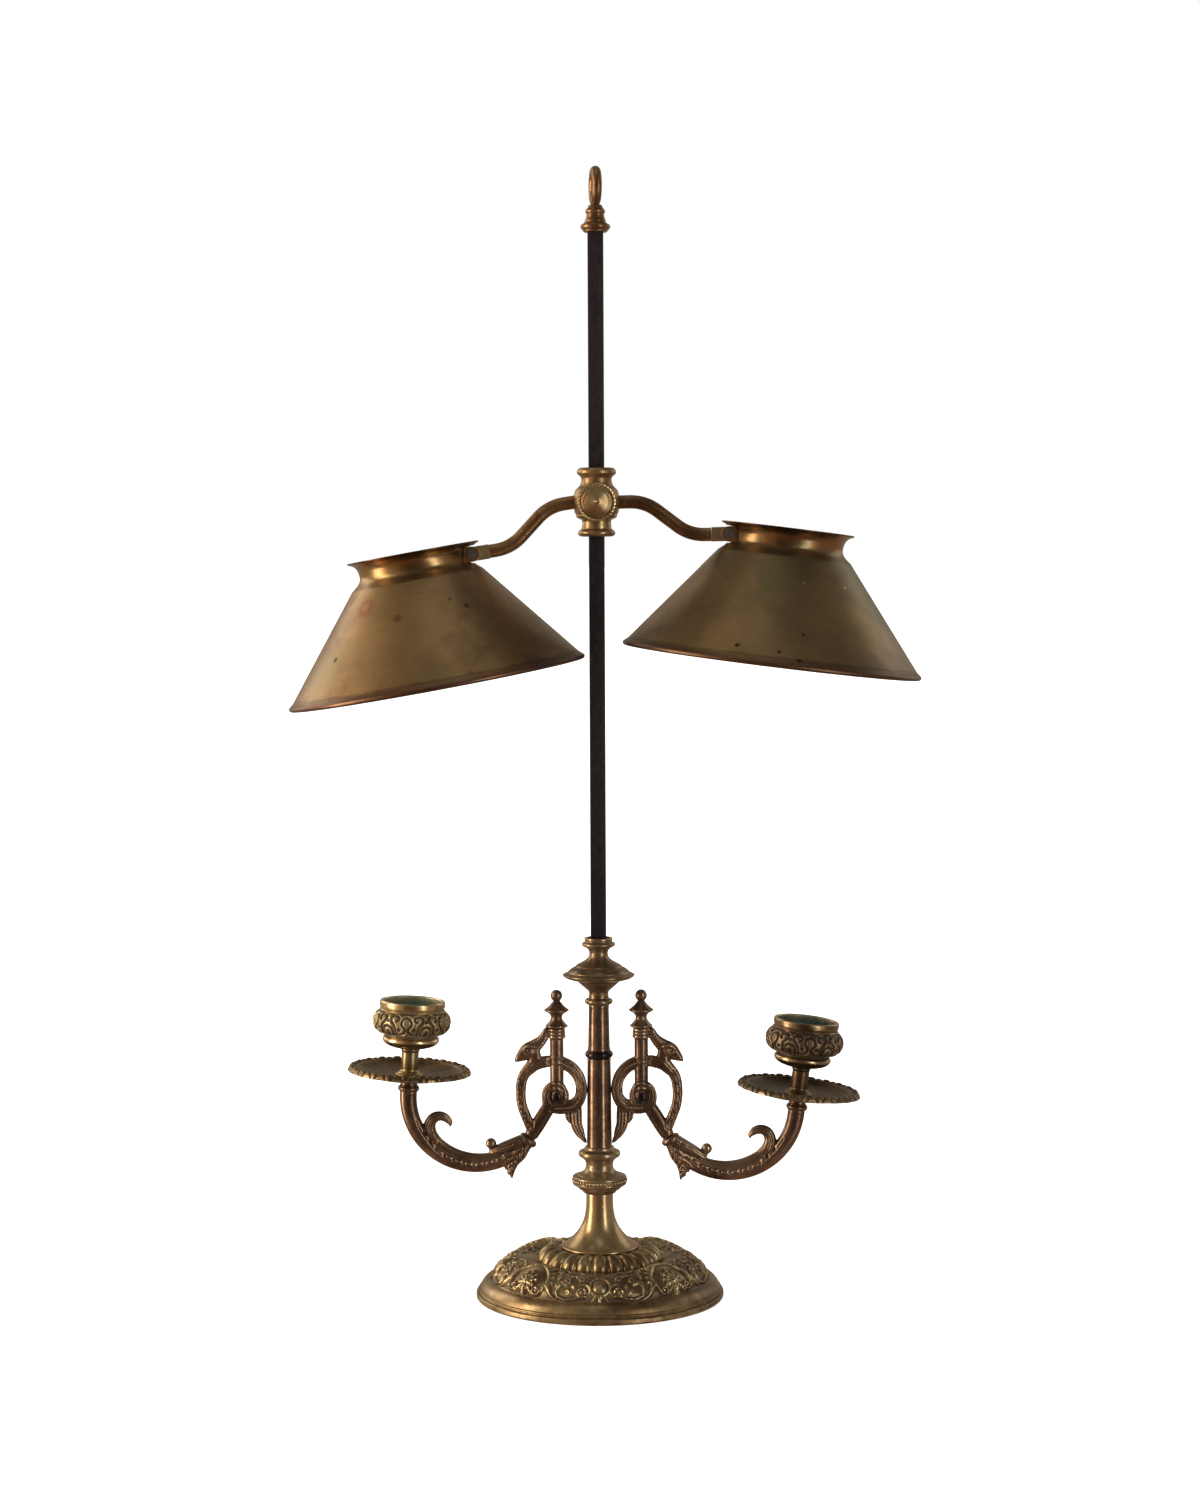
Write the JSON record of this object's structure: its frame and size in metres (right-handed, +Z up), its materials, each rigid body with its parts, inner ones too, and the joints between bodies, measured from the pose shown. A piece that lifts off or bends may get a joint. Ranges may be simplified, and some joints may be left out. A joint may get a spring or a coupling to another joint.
{
  "type": "bouillotte lamp",
  "caption": "Candle lamp: round cast base, turned column, scroll brackets with candle arms, and a slider on a square rod that carries tilting cone shades.",
  "frame": {"origin": "centre of the base's underside, on the axis of the rod, where the lamp stands", "axes": "+Z up along the rod; +X towards the right candle arm, as seen from the front; +Y away from the clamp screw, towards the back"},
  "size_m": [0.3204, 0.1524, 0.5745],
  "materials": {
    "base_brass": "golden olive cast brass with dark recesses",
    "aged_brass": "turned brass, brown patina",
    "dark_bronze": "dark brown bronze patina with worn coppery edges",
    "pan_brass": "brown patina over cast brass",
    "cup_brass": "bright cast brass, verdigris inside",
    "slider_brass": "orange-brown aged brass",
    "shade_brass": "spun brass, satin olive brown with stains",
    "blackened_iron": "blackened wrought iron, satin",
    "steel": "plain steel, hidden hardware"
  },
  "bodies": {
    "root": {"base_shell": "base_brass", "gadroon_ring": "base_brass", "trumpet_foot": "aged_brass", "lower_knop": "aged_brass", "lower_column": "aged_brass", "column_mid_ring": "dark_bronze", "upper_column": "aged_brass", "column_top_ring": "aged_brass", "upper_knop": "aged_brass", "centre_rod": "blackened_iron", "tie_washer": "steel", "tie_nut": "steel", "rod_finial": "slider_brass", "finial_ring": "slider_brass", "bracket_left": "dark_bronze", "bracket_right": "dark_bronze", "bracket_finial_left": "dark_bronze", "bracket_finial_right": "dark_bronze", "bracket_screw_left": "steel", "bracket_screw_right": "steel", "arm_joint_ring_left": "dark_bronze", "arm_joint_ring_right": "dark_bronze", "candle_arm_left": "dark_bronze", "candle_arm_right": "dark_bronze", "arm_collar_left": "dark_bronze", "arm_collar_right": "dark_bronze", "drip_pan_left": "pan_brass", "drip_pan_right": "pan_brass", "cup_stem_left": "cup_brass", "cup_stem_right": "cup_brass", "candle_cup_left": "cup_brass", "candle_cup_right": "cup_brass", "cup_screw_left": "steel", "cup_screw_right": "steel"},
    "slider": {"slider_collar": "slider_brass", "slider_boss": "slider_brass", "friction_spring": "steel", "shade_arm_left": "slider_brass", "shade_arm_right": "slider_brass", "hinge_block_left": "slider_brass", "hinge_block_right": "slider_brass"},
    "left_shade": {"shade_left": "shade_brass", "rim_wire_left": "steel", "hinge_leaf_left": "slider_brass", "hinge_rivets_left": "slider_brass", "hinge_pin_left": "steel"},
    "right_shade": {"shade_right": "shade_brass", "rim_wire_right": "steel", "hinge_leaf_right": "slider_brass", "hinge_rivets_right": "slider_brass", "hinge_pin_right": "steel"},
    "clamp_shoe": {"clamp_shoe": "slider_brass"},
    "clamp_screw": {"clamp_screw": "slider_brass"}
  },
  "joints": [
    {"name": "slider_height", "type": "slide", "parent": "root", "child": "slider", "axis": [0, 0, 1], "range_m": [-0.138, 0.116]},
    {"name": "left_shade_tilt", "type": "hinge", "parent": "slider", "child": "left_shade", "pos_m": [-0.06268, 0, 0.38044], "axis": [0, -1, 0], "range_deg": [-14, 1.5]},
    {"name": "right_shade_tilt", "type": "hinge", "parent": "slider", "child": "right_shade", "pos_m": [0.06651, 0, 0.39007], "axis": [0, 1, 0], "range_deg": [-22, 9]},
    {"name": "clamp_travel", "type": "slide", "parent": "slider", "child": "clamp_shoe", "axis": [0, -1, 0], "range_m": [0, 0.0007]},
    {"name": "clamp_turn", "type": "hinge", "parent": "clamp_shoe", "child": "clamp_screw", "pos_m": [0, -0.0136, 0.4063], "axis": [0, -1, 0], "range_deg": [0, 360]}
  ],
  "couplings": [
    {"joint": "clamp_turn", "follows": "clamp_travel", "rad_per_m": 8976}
  ]
}
